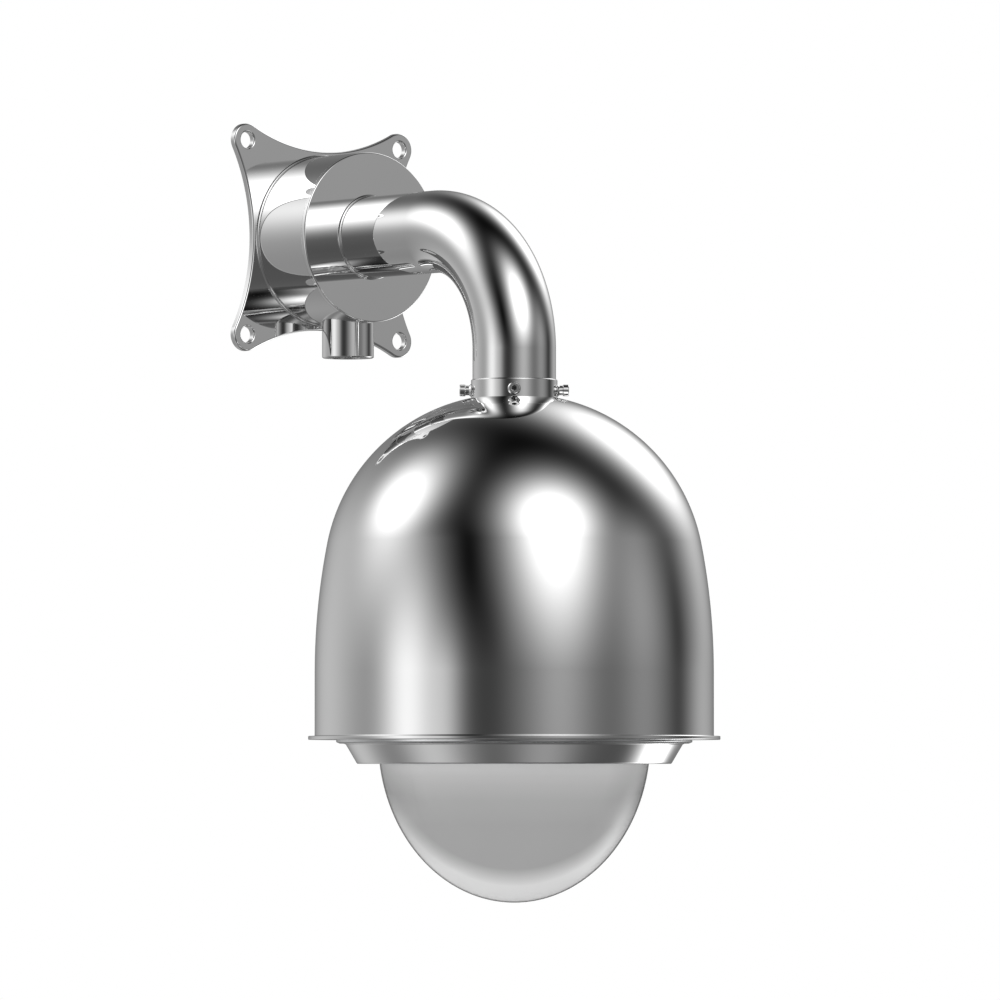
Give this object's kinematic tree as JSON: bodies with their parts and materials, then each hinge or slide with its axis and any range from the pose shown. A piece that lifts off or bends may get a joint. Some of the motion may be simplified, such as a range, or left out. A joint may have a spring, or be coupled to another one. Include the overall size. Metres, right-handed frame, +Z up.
{
  "type": "security camera housing",
  "caption": "Polished steel dome camera housing on a swan-neck wall arm: junction drum, bell shroud, clamped bubble and a pan-tilt camera head inside.",
  "frame": {"origin": "centre of the wall plate's four-hole pattern, on the plate's back face", "axes": "+Y into the wall along the hole pattern's normal, +Z up, +X to the right when facing the wall"},
  "size_m": [0.2474, 0.312, 0.4773],
  "materials": {
    "polished_steel": "mirror-polished stainless steel",
    "weld_bead": "dressed and polished weld bead",
    "screw_steel": "bright stainless steel fasteners",
    "turned_steel": "turned steel",
    "satin_ring": "satin turned aluminium",
    "seal_rubber": "moulded rubber",
    "bubble_plastic": "glossy grey-tinted polycarbonate, translucent",
    "frame_metal": "plain sheet metal",
    "motor_case": "black enamelled motor case",
    "moulded_black": "fine-textured black moulding",
    "board_green": "green solder mask",
    "brass_parts": "turned brass",
    "camera_paint": "dark grey powder coat",
    "lens_glass": "coated lens glass"
  },
  "bodies": {
    "housing": {"wall_plate": "polished_steel", "plate_weld": "weld_bead", "drum_shell": "polished_steel", "drum_face": "polished_steel", "conduit_hub": "polished_steel", "arm_weld": "weld_bead", "gooseneck_arm": "polished_steel", "arm_spigot": "turned_steel", "spigot_seal": "seal_rubber", "collar": "polished_steel", "lock_screws": "screw_steel", "shroud": "polished_steel", "crown_doubler": "frame_metal", "hanger_posts": "turned_steel", "chassis_plate": "frame_metal", "chassis_screws": "screw_steel", "ring_posts": "turned_steel", "ring_post_screws": "screw_steel", "pan_motor": "motor_case", "slip_ring": "moulded_black", "control_board": "board_green", "board_standoffs": "brass_parts", "board_screws": "screw_steel", "base_ring": "satin_ring", "skirt_seal": "seal_rubber", "bezel_ring": "satin_ring", "bezel_screws": "screw_steel", "bubble_seal": "seal_rubber", "bubble": "bubble_plastic", "pan_bearing": "brass_parts"},
    "pan_head": {"pan_turntable": "frame_metal", "yoke": "frame_metal", "yoke_screws": "screw_steel", "tilt_motor": "motor_case", "tilt_bush": "brass_parts"},
    "camera_head": {"tilt_shafts": "turned_steel", "camera_case": "camera_paint", "case_back": "camera_paint", "front_ring": "moulded_black", "lens_barrel": "moulded_black", "lens_glass": "lens_glass"}
  },
  "joints": [
    {"name": "pan", "type": "hinge", "parent": "housing", "child": "pan_head", "pos_m": [0, -0.1883, -0.32], "axis": [0, 0, 1], "continuous": true},
    {"name": "tilt", "type": "hinge", "parent": "pan_head", "child": "camera_head", "pos_m": [0, -0.1883, -0.32], "axis": [1, 0, 0], "range_deg": [-5, 90]}
  ]
}
